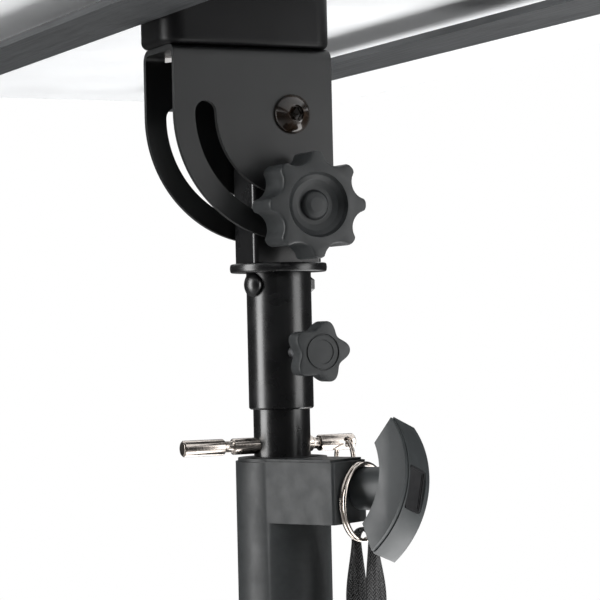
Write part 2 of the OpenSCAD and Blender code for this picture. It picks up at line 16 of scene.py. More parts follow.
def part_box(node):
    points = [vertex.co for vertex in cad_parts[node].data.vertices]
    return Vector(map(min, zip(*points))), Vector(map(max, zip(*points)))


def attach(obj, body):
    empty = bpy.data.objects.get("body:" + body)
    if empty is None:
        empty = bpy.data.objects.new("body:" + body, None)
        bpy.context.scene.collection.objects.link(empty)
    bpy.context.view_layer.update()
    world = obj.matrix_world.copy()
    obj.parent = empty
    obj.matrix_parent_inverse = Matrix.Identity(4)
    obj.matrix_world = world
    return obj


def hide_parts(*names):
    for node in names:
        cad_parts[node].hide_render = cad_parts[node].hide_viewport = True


bl_info = {
    "name": "Panel Light Finisher",
    "version": (1, 0, 0),
    "blender": (4, 5, 0),
    "location": "3D View > Sidebar > Panel Light",
    "description": "Builds the finished pieces of a flat panel light round its fixed frame",
    "category": "Object",
}

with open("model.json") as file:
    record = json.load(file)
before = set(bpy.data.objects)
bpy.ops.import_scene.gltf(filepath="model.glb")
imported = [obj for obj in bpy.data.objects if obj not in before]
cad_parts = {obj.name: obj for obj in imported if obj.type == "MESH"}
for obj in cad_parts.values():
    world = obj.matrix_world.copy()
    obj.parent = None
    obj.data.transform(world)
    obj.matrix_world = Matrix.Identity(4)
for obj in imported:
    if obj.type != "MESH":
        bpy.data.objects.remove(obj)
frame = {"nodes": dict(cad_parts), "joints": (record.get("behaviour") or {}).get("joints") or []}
NODES = frame["nodes"]
JOINTS = {joint["name"]: joint for joint in frame["joints"]}
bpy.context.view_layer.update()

MM = 0.001
X_AXIS = Vector((1, 0, 0))
Y_AXIS = Vector((0, 1, 0))
UP = Vector((0, 0, 1))
TINY = 1e-6
FLAT_WITHIN = radians(0.5)
NEARLY_STRAIGHT = 0.02
SIDE_SHARE = 0.45


def joint_point(name):
    return Vector(JOINTS[name]["pos_m"])


PIVOT = joint_point("tilt")
TILT_SCREW = joint_point("tilt_knob_turn")
STAR_SCREW = joint_point("star_knob_turn")
HANDLE = joint_point("clamp_handle_turn")
HANDLE_OUT = Vector(JOINTS["clamp_handle_turn"]["axis"]).normalized()
PIN_RING = joint_point("pin_ring_swing")


# ---------------------------------------------------------------- sizes and colours

def length(name, about, value):
    return FloatProperty(name=name, description=about, default=value, unit="LENGTH", precision=4)


def shade(name, about, value):
    return FloatVectorProperty(name=name, description=about, default=value, size=3, min=0.0, max=1.0,
                               subtype="COLOR")


class KnobSizes(PropertyGroup):
    """Sizes of the two clamp knobs"""

    tilt_r: length("Tilt knob radius", "Radius over the lobes of the tilt knob", 32.2 * MM)
    tilt_scallop_at: length("Scallop distance", "Distance of a scallop's centre from the axis", 36 * MM)
    tilt_scallop_r: length("Scallop radius", "Radius of each scallop of the tilt knob", 10.5 * MM)
    dish_r: length("Dish radius", "Radius of the dished front of the tilt knob", 19.6 * MM)
    button_r: length("Button radius", "Radius of the raised centre of the tilt knob", 8.7 * MM)
    star_r: length("Star knob radius", "Radius over the points of the star knob", 18.8 * MM)
    star_wave: length("Star wave", "Half the height of the points of the star knob", 2.5 * MM)
    lobes: IntProperty(name="Tilt knob lobes", description="Number of lobes on the tilt knob", default=8)
    points: IntProperty(name="Star points", description="Number of points on the star knob", default=5)


class HandleSizes(PropertyGroup):
    """Sizes of the clamp handle, its ring and the webbing loop"""

    arc_r: length("Outer arc", "Radius of the outer arc of the grip", 60 * MM)
    hollow_r: length("Inner arc", "Radius of the inner arc of the grip", 47 * MM)
    depth: length("Grip depth", "Depth of the grip from its inner to its outer arc", 19.5 * MM)
    hub_r: length("Hub radius", "Radius of the round hub", 13 * MM)
    thickness: length("Grip thickness", "Thickness of the grip", 27.8 * MM)
    turn: FloatProperty(name="Grip turn", description="Turn of the grip about its screw",
                        default=radians(-18.2), subtype="ANGLE")
    webbing_w: length("Webbing width", "Width of the woven strap", 21.6 * MM)
    webbing_t: length("Webbing thickness", "Thickness of the woven strap", 1.3 * MM)


class PaintColours(PropertyGroup):
    """Colours of the finishes"""

    lacquer: shade("Lacquer", "Gloss black paint of the tubes", (0.0026, 0.0027, 0.0030))
    bracket: shade("Bracket paint", "Satin black paint of the folded bracket", (0.0042, 0.0046, 0.0048))
    nylon: shade("Moulding", "Dark grey glass-filled nylon", (0.0165, 0.0185, 0.0193))
    block: shade("Driver block", "Satin black of the driver block", (0.0022, 0.0022, 0.0025))
    rail: shade("Rails", "Dark anodised rails", (0.034, 0.036, 0.038))
    pan: shade("Rear pan", "White powder coat", (0.80, 0.81, 0.82))
    nickel: shade("Nickel", "Bright nickel plate", (0.60, 0.54, 0.49))


class StageSizes(PropertyGroup):
    """Camera and studio settings"""

    lens_mm: FloatProperty(name="Lens", description="Focal length on a 36 mm sensor", default=133.56)
    yaw: FloatProperty(name="Yaw", description="Turn of the camera about the post", default=radians(-26),
                       subtype="ANGLE")
    pitch: FloatProperty(name="Pitch", description="Rise of the line of sight", default=radians(-0.84),
                         subtype="ANGLE")
    roll: FloatProperty(name="Roll", description="Roll of the camera", default=radians(-1.29),
                        subtype="ANGLE")
    stand_off: FloatVectorProperty(name="Camera place", description="Camera place, seen from the tilt axis",
                                   default=(-0.5903, -1.2397, -0.1329), subtype="TRANSLATION", unit="LENGTH")
    floor_w: length("Floor width", "Width of the pale floor", 24.0)


def knob_sizes():
    return bpy.context.scene.light_knobs


def handle_sizes():
    return bpy.context.scene.light_handle


def paints():
    return bpy.context.scene.light_paints


# ---------------------------------------------------------------- working by hand, in code

def take(piece):
    """Makes the piece the one selected and active object, in object mode."""
    if bpy.context.object and bpy.context.object.mode != "OBJECT":
        bpy.ops.object.mode_set(mode="OBJECT")
    bpy.ops.object.select_all(action="DESELECT")
    piece.select_set(True)
    bpy.context.view_layer.objects.active = piece


def open_mesh(piece, kind="FACE"):
    take(piece)
    bpy.ops.object.mode_set(mode="EDIT")
    bpy.ops.mesh.select_mode(type=kind)
    bpy.ops.mesh.select_all(action="SELECT")


def pick_faces(piece, test):
    """Opens the mesh with the faces selected whose middle and normal pass the test."""
    open_mesh(piece)
    bpy.ops.mesh.select_all(action="DESELECT")
    bpy.ops.object.mode_set(mode="OBJECT")
    for face in piece.data.polygons:
        face.select = test(face.center, face.normal)
    bpy.ops.object.mode_set(mode="EDIT")


def pick_edges(piece, test):
    """Opens the mesh with the edges selected whose two ends pass the test."""
    open_mesh(piece, "EDGE")
    bpy.ops.mesh.select_all(action="DESELECT")
    bpy.ops.object.mode_set(mode="OBJECT")
    points = [vertex.co.copy() for vertex in piece.data.vertices]
    for edge in piece.data.edges:
        first, last = edge.vertices
        edge.select = test(points[first], points[last])
    bpy.ops.object.mode_set(mode="EDIT")


def modify(piece, kind, **settings):
    """Adds a modifier with these settings and applies it."""
    take(piece)
    modifier = piece.modifiers.new(kind.title(), kind)
    for name, value in settings.items():
        setattr(modifier, name, value)
    bpy.ops.object.modifier_apply(modifier=modifier.name)


def soften(piece, width, segments=3, angle=35.0):
    modify(piece, "BEVEL", width=width, segments=segments, limit_method="ANGLE",
           angle_limit=radians(angle), use_clamp_overlap=True, miter_outer="MITER_ARC")


def smooth(piece, angle=32.0):
    take(piece)
    bpy.ops.object.shade_smooth_by_angle(angle=radians(angle))


def seat(piece, matrix):
    """Puts a piece that was shaped at the origin in its place, and applies that place to the mesh."""
    take(piece)
    piece.matrix_world = matrix
    bpy.ops.object.transform_apply(location=True, rotation=True, scale=True)


def axes_at(point, z_axis, x_axis):
    z_way = Vector(z_axis).normalized()
    x_way = Vector(x_axis).normalized()
    matrix = Matrix((x_way, z_way.cross(x_way), z_way)).transposed().to_4x4()
    matrix.translation = point
    return matrix


def cut(piece, cutter, operation="DIFFERENCE"):
    """Cuts the piece with the cutter, or joins the two, and removes the cutter."""
    modify(piece, "BOOLEAN", object=cutter, operation=operation, solver="EXACT")
    bpy.data.objects.remove(cutter)


def from_outline(name, points, closed=True):
    """A new mesh of one face, or of one open line, through the points."""
    mesh = bpy.data.meshes.new(name)
    count = len(points)
    lines = [] if closed else [(i, i + 1) for i in range(count - 1)]
    mesh.from_pydata(points, lines, [range(count)] if closed else [])
    piece = bpy.data.objects.new(name, mesh)
    bpy.context.scene.collection.objects.link(piece)
    return piece


def tidy_faces(piece):
    open_mesh(piece)
    bpy.ops.mesh.remove_doubles(threshold=TINY)
    bpy.ops.mesh.normals_make_consistent(inside=False)
    bpy.ops.object.mode_set(mode="OBJECT")


def slab(name, outline, bottom, top):
    """A plate of this outline, given as (x, y) points, from bottom to top along Z."""
    piece = from_outline(name, [(x, y, bottom) for x, y in outline])
    open_mesh(piece)
    bpy.ops.mesh.extrude_region_move(TRANSFORM_OT_translate={"value": (0, 0, top - bottom)})
    tidy_faces(piece)
    return piece


def turned(name, profile, sides=96):
    """A turned part: the (radius, height) profile spun about Z. It is closed where it meets the axis."""
    piece = from_outline(name, [(r, 0, z) for r, z in profile], closed=False)
    open_mesh(piece, "VERT")
    bpy.ops.mesh.spin(steps=sides, angle=2 * pi, center=(0, 0, 0), axis=(0, 0, 1))
    tidy_faces(piece)
    return piece


def drill(name, radius, bottom, top, sides=96):
    """A round bar along Z, to cut a hole with."""
    return turned(name, [(0, bottom), (radius, bottom), (radius, top), (0, top)], sides)


def eased(points, radius, steps=5):
    """The (x, y) line with its inner corners rounded, each from where an arc of the radius would start.

    A curve takes up no more than SIDE_SHARE of the sides that it joins, and a corner that is straight
    to within NEARLY_STRAIGHT radians stays.
    """
    line = [points[0]]
    for before, corner, after in zip(points, points[1:], points[2:]):
        here = Vector(corner)
        back = Vector(before) - here
        ahead = Vector(after) - here
        half = back.angle(ahead) / 2
        bends = half < pi / 2 - NEARLY_STRAIGHT
        reach = radius / max(sin(half) / cos(half), TINY) if bends else 0.0
        reach = min(reach, SIDE_SHARE * back.length, SIDE_SHARE * ahead.length)
        if reach <= TINY:
            line.append(corner)
            continue
        start = here + back.normalized() * reach
        end = here + ahead.normalized() * reach
        for step in range(steps + 1):
            t = step / steps
            line.append(tuple((1 - t) ** 2 * start + 2 * t * (1 - t) * here + t * t * end))
    line.append(points[-1])
    return line


def lobed(radius, lobes, scallop_at, scallop_r, first, blend, steps=14):
    """The (x, y) outline of a knob: a circle with round hollows, and soft corners between them."""
    outline = []
    pitch = 2 * pi / lobes
    for i in range(lobes * steps):
        angle = 2 * pi * i / (lobes * steps)
        off = (angle - first + pitch / 2) % pitch - pitch / 2
        room = scallop_r ** 2 - (scallop_at * sin(off)) ** 2
        hollow = scallop_at * cos(off) - sqrt(max(room, 0.0))
        near = max(blend - abs(radius - hollow), 0.0) / blend
        reach = min(radius, hollow) - near * near * blend / 4
        outline.append((reach * cos(angle), reach * sin(angle)))
    return outline


def rounded(width, tall, radius, steps=6):
    """The (x, y) outline of a rectangle with round corners."""
    outline = []
    for quarter, (side, end) in enumerate(((1, 1), (-1, 1), (-1, -1), (1, -1))):
        for step in range(steps + 1):
            angle = (quarter + step / steps) * pi / 2
            outline.append((side * (width / 2 - radius) + radius * cos(angle),
                            end * (tall / 2 - radius) + radius * sin(angle)))
    return outline


def waved(middle, wave, count, first, steps=24):
    """The (x, y) outline of a soft star: its radius rises to each point and falls between them."""
    total = count * steps
    outline = []
    for i in range(total):
        angle = 2 * pi * i / total
        reach = middle + wave * cos(count * (angle - first))
        outline.append((reach * cos(angle), reach * sin(angle)))
    return outline


def finished_copy(node, name, edge, segments=2, angle=35.0):
    """A copy of a frame part with its loose triangles merged and its sharp edges rounded."""
    piece = bpy.data.objects.new(name, NODES[node].data.copy())
    bpy.context.scene.collection.objects.link(piece)
    take(piece)
    bpy.ops.mesh.customdata_custom_splitnormals_clear()
    open_mesh(piece)
    bpy.ops.mesh.remove_doubles(threshold=2 * TINY)
    bpy.ops.mesh.dissolve_limited(angle_limit=FLAT_WITHIN)
    bpy.ops.object.mode_set(mode="OBJECT")
    if edge:
        soften(piece, edge, segments, angle)
    smooth(piece)
    modify(piece, "WEIGHTED_NORMAL", keep_sharp=True, weight=80)
    return piece


def hand_over(piece, body, finish, slot, *nodes):
    """Gives a finished piece its material and its body, and hides the frame parts that it stands for. The
    slot is not used.
    """
    piece.data.materials.clear()
    piece.data.materials.append(finish)
    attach(piece, body)
    if nodes:
        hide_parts(*nodes)


# ---------------------------------------------------------------- effects that materials share

def new_group(name, inputs, outputs):
    group = bpy.data.node_groups.new(name, "ShaderNodeTree")
    for label, kind, value in inputs:
        socket = group.interface.new_socket(label, in_out="INPUT", socket_type=kind)
        if value is not None:
            socket.default_value = value
    for label, kind in outputs:
        group.interface.new_socket(label, in_out="OUTPUT", socket_type=kind)
    return group, group.nodes.new("NodeGroupInput"), group.nodes.new("NodeGroupOutput")


def calculate(tree, operation, first, second=None):
    node = tree.nodes.new("ShaderNodeMath")
    node.operation = operation
    for socket, value in zip(node.inputs, (first, second)):
        if value is None:
            continue
        if isinstance(value, (int, float)):
            socket.default_value = value
        else:
            tree.links.new(value, socket)
    return node.outputs[0]


def noise_in(tree, vector, scale, detail):
    noise = tree.nodes.new("ShaderNodeTexNoise")
    noise.inputs["Detail"].default_value = detail
    tree.links.new(vector, noise.inputs["Vector"])
    tree.links.new(scale, noise.inputs["Scale"])
    return noise.outputs["Fac"]


def make_grain_group():
    """Fine moulded or sprayed grain: fine and coarse noise added together as one height."""
    group, given, made = new_group(
        "fine grain",
        [("Vector", "NodeSocketVector", None), ("Scale", "NodeSocketFloat", 900.0),
         ("Coarse", "NodeSocketFloat", 0.4)],
        [("Height", "NodeSocketFloat")])
    fine = noise_in(group, given.outputs["Vector"], given.outputs["Scale"], 3.0)
    slow = calculate(group, "MULTIPLY", given.outputs["Scale"], 0.22)
    coarse = noise_in(group, given.outputs["Vector"], slow, 2.0)
    share = calculate(group, "MULTIPLY", coarse, given.outputs["Coarse"])
    group.links.new(calculate(group, "ADD", fine, share), made.inputs["Height"])
    return group


def make_mottle_group():
    """A colour that drifts a little between two tones, as paint and plastic do."""
    group, given, made = new_group(
        "mottle",
        [("Vector", "NodeSocketVector", None), ("Base", "NodeSocketColor", None),
         ("Tone", "NodeSocketColor", None), ("Scale", "NodeSocketFloat", 60.0)],
        [("Color", "NodeSocketColor"), ("Mask", "NodeSocketFloat")])
    drift = noise_in(group, given.outputs["Vector"], given.outputs["Scale"], 4.0)
    ramp = group.nodes.new("ShaderNodeMapRange")
    ramp.inputs["From Min"].default_value = 0.38
    ramp.inputs["From Max"].default_value = 0.66
    group.links.new(drift, ramp.inputs["Value"])
    mix = group.nodes.new("ShaderNodeMix")
    mix.data_type = "RGBA"
    colours = [socket for socket in mix.inputs if socket.type == "RGBA"]
    group.links.new(ramp.outputs["Result"], mix.inputs["Factor"])
    group.links.new(given.outputs["Base"], colours[0])
    group.links.new(given.outputs["Tone"], colours[1])
    group.links.new([s for s in mix.outputs if s.type == "RGBA"][0], made.inputs["Color"])
    group.links.new(ramp.outputs["Result"], made.inputs["Mask"])
    return group


def make_wear_group():
    """A roughness that varies between two values with smudges and fine rubbing."""
    group, given, made = new_group(
        "handling",
        [("Vector", "NodeSocketVector", None), ("Scale", "NodeSocketFloat", 45.0),
         ("Smooth", "NodeSocketFloat", 0.25), ("Rough", "NodeSocketFloat", 0.35)],
        [("Roughness", "NodeSocketFloat")])
    smudge = noise_in(group, given.outputs["Vector"], given.outputs["Scale"], 6.0)
    ramp = group.nodes.new("ShaderNodeMapRange")
    ramp.inputs["From Min"].default_value = 0.35
    ramp.inputs["From Max"].default_value = 0.7
    group.links.new(smudge, ramp.inputs["Value"])
    group.links.new(given.outputs["Smooth"], ramp.inputs["To Min"])
    group.links.new(given.outputs["Rough"], ramp.inputs["To Max"])
    group.links.new(ramp.outputs["Result"], made.inputs["Roughness"])
    return group


def make_weave_group():
    """Webbing: rows of slanted yarns that turn back in a chevron, from the strap's own UV map."""
    group, given, made = new_group(
        "webbing weave",
        [("Vector", "NodeSocketVector", None), ("Across", "NodeSocketFloat", 14.0),
         ("Along", "NodeSocketFloat", 120.0)],
        [("Height", "NodeSocketFloat")])
    parts = group.nodes.new("ShaderNodeSeparateXYZ")
    group.links.new(given.outputs["Vector"], parts.inputs["Vector"])
    column = calculate(group, "MULTIPLY", parts.outputs["X"], given.outputs["Across"])
    row = calculate(group, "MULTIPLY", parts.outputs["Y"], given.outputs["Along"])
    slant = calculate(group, "PINGPONG", column, 1.0)
    phase = calculate(group, "MULTIPLY", calculate(group, "ADD", row, slant), 2 * pi)
    yarn = calculate(group, "SINE", phase)
    rib = calculate(group, "SINE", calculate(group, "MULTIPLY", column, 2 * pi))
    lifted = calculate(group, "MULTIPLY", calculate(group, "ABSOLUTE", rib), 0.5)
    group.links.new(calculate(group, "ADD", yarn, lifted), made.inputs["Height"])
    return group


EFFECTS = {}


class Finish:
    """A material under construction, with its shader and the coordinates that its patterns read."""

    def __init__(self, name, colour, roughness, metallic=0.0, coat=0.0, specular=0.5):
        self.material = bpy.data.materials.new(name)
        self.material.use_nodes = True
        self.tree = self.material.node_tree
        self.shader = self.tree.nodes["Principled BSDF"]
        self.colour = (*colour, 1.0)
        self.shader.inputs["Base Color"].default_value = self.colour
        self.shader.inputs["Roughness"].default_value = roughness
        self.shader.inputs["Metallic"].default_value = metallic
        self.shader.inputs["Coat Weight"].default_value = coat
        self.shader.inputs["Coat Roughness"].default_value = 0.08
        self.shader.inputs["Specular IOR Level"].default_value = specular
        self.place = self.tree.nodes.new("ShaderNodeTexCoord").outputs["Object"]

    def effect(self, name, **values):
        node = self.tree.nodes.new("ShaderNodeGroup")
        node.node_tree = EFFECTS[name]
        self.tree.links.new(self.place, node.inputs["Vector"])
        for label, value in values.items():
            node.inputs[label].default_value = value
        return node

    def stretch(self, x, y, z):
        """Draws the patterns out along one way, as brushing does."""
        mapping = self.tree.nodes.new("ShaderNodeMapping")
        mapping.inputs["Scale"].default_value = (x, y, z)
        self.tree.links.new(self.place, mapping.inputs["Vector"])
        self.place = mapping.outputs["Vector"]
        return self

    def mottle(self, tone, scale):
        node = self.effect("mottle", Base=self.colour, Tone=(*tone, 1.0), Scale=scale)
        self.tree.links.new(node.outputs["Color"], self.shader.inputs["Base Color"])
        return self

    def handling(self, smooth_value, rough_value, scale=45.0):
        node = self.effect("handling", Smooth=smooth_value, Rough=rough_value, Scale=scale)
        self.tree.links.new(node.outputs["Roughness"], self.shader.inputs["Roughness"])
        return self

    def raised(self, height, depth, strength):
        bump = self.tree.nodes.new("ShaderNodeBump")
        bump.inputs["Distance"].default_value = depth
        bump.inputs["Strength"].default_value = strength
        self.tree.links.new(height, bump.inputs["Height"])
        self.tree.links.new(bump.outputs["Normal"], self.shader.inputs["Normal"])
        return self

    def grain(self, scale, depth, strength=0.5, coarse=0.4):
        node = self.effect("fine grain", Scale=scale, Coarse=coarse)
        return self.raised(node.outputs["Height"], depth, strength)


def lighter(colour, factor):
    return tuple(min(1.0, part * factor) for part in colour)


# ---------------------------------------------------------------- materials

def lacquer_black():
    colour = paints().lacquer
    finish = Finish("lacquer black", colour, 0.28, specular=0.6)
    finish.mottle(lighter(colour, 1.5), 30).handling(0.25, 0.33, 60)
    return finish.grain(420, 0.05 * MM, 0.10).material


def bracket_black():
    colour = paints().bracket
    finish = Finish("bracket satin black", colour, 0.40, specular=0.5)
    finish.mottle(lighter(colour, 1.35), 35).handling(0.36, 0.46, 40)
    return finish.grain(1500, 0.04 * MM, 0.22).material


def grey_nylon():
    colour = paints().nylon
    finish = Finish("dark grey nylon", colour, 0.52, specular=0.42)
    finish.mottle(lighter(colour, 1.25), 240).handling(0.46, 0.60, 90)
    return finish.grain(1700, 0.09 * MM, 0.45).material


def handle_nylon_painted_lighter():
    # Painted light: the handle's grey nylon is made 1.8 times lighter, for the light that falls on it.
    colour = lighter(paints().nylon, 1.8)
    finish = Finish("handle nylon painted lighter", colour, 0.42, specular=0.45)
    finish.mottle(lighter(colour, 1.12), 160).handling(0.38, 0.48, 70)
    return finish.grain(1900, 0.06 * MM, 0.30).material


def knob_black():
    colour = lighter(paints().nylon, 0.80)
    finish = Finish("knob black", colour, 0.46, specular=0.42)
    finish.mottle(lighter(colour, 1.25), 200).handling(0.42, 0.54, 80)
    return finish.grain(2100, 0.05 * MM, 0.30).material


def small_black():
    finish = Finish("small black mouldings", (0.010, 0.010, 0.011), 0.40, specular=0.4)
    finish.mottle((0.016, 0.016, 0.017), 150).handling(0.36, 0.48, 90)
    return finish.grain(2400, 0.03 * MM, 0.25).material


def block_black():
    colour = paints().block
    finish = Finish("driver block satin", colour, 0.46, specular=0.18)
    finish.mottle(lighter(colour, 1.6), 30).handling(0.38, 0.48, 50)
    return finish.grain(1800, 0.03 * MM, 0.18).material


def rail_dark():
    colour = paints().rail
    finish = Finish("rail brushed dark", colour, 0.42, metallic=0.25, specular=0.45)
    finish.stretch(1.0, 0.03, 1.0).mottle(lighter(colour, 1.35), 900).handling(0.38, 0.52, 500)
    return finish.grain(1400, 0.03 * MM, 0.25).material


def pan_white():
    colour = paints().pan
    finish = Finish("rear pan white", colour, 0.45, specular=0.4)
    finish.mottle(lighter(colour, 0.975), 14).handling(0.40, 0.52, 20)
    return finish.grain(1100, 0.03 * MM, 0.15).material


def base_powder():
    finish = Finish("base powder black", (0.014, 0.014, 0.015), 0.55, specular=0.45)
    finish.mottle((0.021, 0.021, 0.022), 60).handling(0.50, 0.64, 30)
    return finish.grain(1000, 0.12 * MM, 0.50).material


def nickel_plate():
    colour = paints().nickel
    finish = Finish("nickel plate", colour, 0.14, metallic=1.0)
    return finish.mottle(lighter(colour, 0.88), 220).handling(0.10, 0.20, 180).material


def turned_nickel():
    colour = paints().nickel
    finish = Finish("nickel pin", colour, 0.16, metallic=1.0).stretch(8.0, 0.6, 0.6)
    finish.mottle(lighter(colour, 0.84), 160).handling(0.11, 0.22, 260)
    return finish.grain(320, 0.02 * MM, 0.25).material


def zinc_steel():
    finish = Finish("zinc plate", (0.55, 0.55, 0.56), 0.30, metallic=1.0)
    finish.mottle((0.45, 0.46, 0.49), 260).handling(0.25, 0.40, 200)
    return finish.grain(1500, 0.02 * MM, 0.25).material


def blackened_screw():
    finish = Finish("blackened screw", (0.012, 0.0085, 0.006), 0.18, metallic=0.2, coat=0.5, specular=0.5)
    return finish.mottle((0.030, 0.018, 0.011), 130).handling(0.12, 0.24, 160).material


def turned_brass():
    finish = Finish("turned brass", (0.68, 0.50, 0.22), 0.26, metallic=1.0)
    return finish.mottle((0.56, 0.40, 0.17), 260).handling(0.20, 0.34, 220).material


def frame_silver():
    finish = Finish("frame silver", (0.62, 0.63, 0.64), 0.36, metallic=0.9).stretch(1.0, 0.03, 1.0)
    finish.mottle((0.54, 0.55, 0.56), 700).handling(0.30, 0.44, 400)
    return finish.grain(1300, 0.02 * MM, 0.2).material


def natural_nylon():
    finish = Finish("natural nylon", (0.72, 0.71, 0.66), 0.45)
    return finish.mottle((0.66, 0.65, 0.60), 200).handling(0.40, 0.55, 120).material


def black_rubber():
    finish = Finish("black rubber", (0.012, 0.012, 0.012), 0.75, specular=0.3)
    finish.mottle((0.020, 0.020, 0.020), 150).handling(0.68, 0.85, 80)
    return finish.grain(900, 0.08 * MM, 0.4).material


def opal_sheet():
    finish = Finish("opal acrylic", (0.90, 0.90, 0.88), 0.30, specular=0.5)
    return finish.mottle((0.87, 0.87, 0.86), 6).handling(0.26, 0.34, 12).material


def board_green():
    finish = Finish("circuit board", (0.02, 0.10, 0.035), 0.35)
    return finish.mottle((0.03, 0.16, 0.05), 500).handling(0.3, 0.45, 300).material


def black_webbing():
    finish = Finish("black webbing", (0.010, 0.010, 0.0105), 0.78, specular=0.35)
    finish.shader.inputs["Sheen Weight"].default_value = 0.25
    finish.shader.inputs["Sheen Roughness"].default_value = 0.4
    finish.place = finish.tree.nodes["Texture Coordinate"].outputs["UV"]
    weave = finish.effect("webbing weave", Across=7.0, Along=150.0)
    return finish.raised(weave.outputs["Height"], 0.35 * MM, 0.9).material


MATERIAL_MAKERS = {
    "lacquer": lacquer_black, "bracket": bracket_black, "nylon": grey_nylon, "grip": handle_nylon_painted_lighter,
    "knob": knob_black, "small": small_black, "block": block_black, "rail": rail_dark, "pan": pan_white,
    "powder": base_powder, "nickel": nickel_plate, "pin": turned_nickel, "zinc": zinc_steel,
    "screw": blackened_screw, "brass": turned_brass, "silver": frame_silver, "natural": natural_nylon,
    "rubber": black_rubber, "opal": opal_sheet, "board": board_green, "webbing": black_webbing,
}
FINISHES = {}

# The frame parts that stay as they are, by the finish that each takes.
CARRIED = {
    "lacquer": ["lower_tube", "post"],
    "powder": ["base_plate", "column_flange"],
    "small": ["guide_bush", "post_guide", "post_cap", "power_rocker", "power_inlet", "dimmer_knob",
              "foam_pads"],
    "zinc": ["column_screws", "handle_screw", "tilt_bolt", "tilt_washers", "pivot_nut", "star_screw",
             "rail_nuts", "rail_standoffs", "frame_screws", "backing_plate", "dimmer_shaft",
             "dimmer_pot"],
    "screw": ["bracket_bolts"],
    "brass": ["handle_nut", "tilt_knob_insert"],
    "natural": ["spacer_washers", "clamp_shoe", "led_strips"],
    "rubber": ["base_feet"],
    "opal": ["diffuser", "light_guide", "reflector"],
    "board": ["driver_board"],
}


# ---------------------------------------------------------------- operators

class LIGHT_OT_finishes(Operator):
    """Makes the shared effects and every material, and paints the frame parts that stay"""

    bl_idname = "light.finishes"
    bl_label = "Make finishes"

    def execute(self, context):
        EFFECTS.update({"fine grain": make_grain_group(), "mottle": make_mottle_group(),
                        "handling": make_wear_group(), "webbing weave": make_weave_group()})
        for name, maker in MATERIAL_MAKERS.items():
            FINISHES[name] = maker()
        for name, nodes in CARRIED.items():
            for node in nodes:
                NODES[node].data.materials.clear()
                NODES[node].data.materials.append(FINISHES[name])
        return {"FINISHED"}


class LIGHT_OT_tilt_knob(Operator):
    """Lobed knob with a dished front and a raised centre button"""

    bl_idname = "light.tilt_knob"
    bl_label = "Tilt knob"

    def execute(self, context):
        sizes = knob_sizes()
        lobes_from, lobe_edge, lobe_blend = 5.1 * MM, 1.5 * MM, 2.2 * MM
        neck_r, neck_end = 17 * MM, 8 * MM
        screw_r, screw_end = 8.1 * MM, 19.4 * MM
        low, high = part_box("tilt_knob")
        top = high.y - low.y
        outline = lobed(sizes.tilt_r, sizes.lobes, sizes.tilt_scallop_at, sizes.tilt_scallop_r,
                        pi / sizes.lobes, lobe_blend)
        knob = slab("tilt_knob_body", outline, lobes_from, top)
        soften(knob, lobe_edge, 4)
        neck = turned("neck", eased([(0, 0), (neck_r, 0), (neck_r, neck_end), (0, neck_end)], 0.8 * MM))
        cut(knob, neck, "UNION")
        dish, button = sizes.dish_r, sizes.button_r
        profile = [(0, top - 1.9 * MM), (0.5 * button, top - 2.1 * MM), (0.85 * button, top - 3.0 * MM),
                   (button, top - 4.4 * MM), (button + 0.2 * MM, top - 6.2 * MM),
                   (0.60 * dish, top - 6.0 * MM), (0.78 * dish, top - 4.8 * MM),
                   (0.92 * dish, top - 2.4 * MM), (dish, top + 0.1 * MM),
                   (dish + 0.4 * MM, top + 2 * MM), (0, top + 2 * MM)]
        cut(knob, turned("dish", eased(profile, 1.6 * MM)))
        cut(knob, drill("screw hole", screw_r, -MM, screw_end))
        smooth(knob, 38)
        seat(knob, axes_at((TILT_SCREW.x, high.y, TILT_SCREW.z), -Y_AXIS, X_AXIS))
        hand_over(knob, "tilt_clamp", FINISHES["knob"], "black_moulding", "tilt_knob")
        return {"FINISHED"}


class LIGHT_OT_star_knob(Operator):
    """Five-pointed knob with a ring groove and a plain blank disc in its face"""

    bl_idname = "light.star_knob"
    bl_label = "Star knob"

    def execute(self, context):
        sizes = knob_sizes()
        first_point = radians(4)
        points_from, point_edge = 6 * MM, 1.2 * MM
        neck_r, neck_end, neck_end_r = 8.4 * MM, 7 * MM, 9 * MM
        screw_r, screw_end = 4.1 * MM, 13.2 * MM
        low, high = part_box("star_knob")
        top = high.y - low.y
        outline = waved(sizes.star_r - sizes.star_wave, sizes.star_wave, sizes.points, first_point)
        knob = slab("star_knob_body", outline, points_from, top)
        soften(knob, point_edge, 4)
        neck = turned("neck", eased([(0, 0), (neck_r, 0), (neck_end_r, neck_end), (0, neck_end)], 0.8 * MM))
        cut(knob, neck, "UNION")
        over, groove_floor, disc_floor, flare = top + MM, top - 0.7 * MM, top - 0.5 * MM, 0.3 * MM
        groove_in, groove_out, disc_r = 10.0 * MM, 10.9 * MM, 7.2 * MM
        groove = [(groove_in, groove_floor), (groove_out, groove_floor), (groove_out + flare, over),
                  (groove_in - flare, over), (groove_in, groove_floor)]
        cut(knob, turned("groove", groove))
        disc = [(0, disc_floor), (disc_r, disc_floor), (disc_r + flare, over), (0, over)]
        cut(knob, turned("recess", disc))
        cut(knob, drill("screw hole", screw_r, -MM, screw_end))
        smooth(knob, 38)
        seat(knob, axes_at((STAR_SCREW.x, high.y, STAR_SCREW.z), -Y_AXIS, X_AXIS))
        hand_over(knob, "star", FINISHES["nylon"], "grey_moulding", "star_knob", "star_badge")
        return {"FINISHED"}


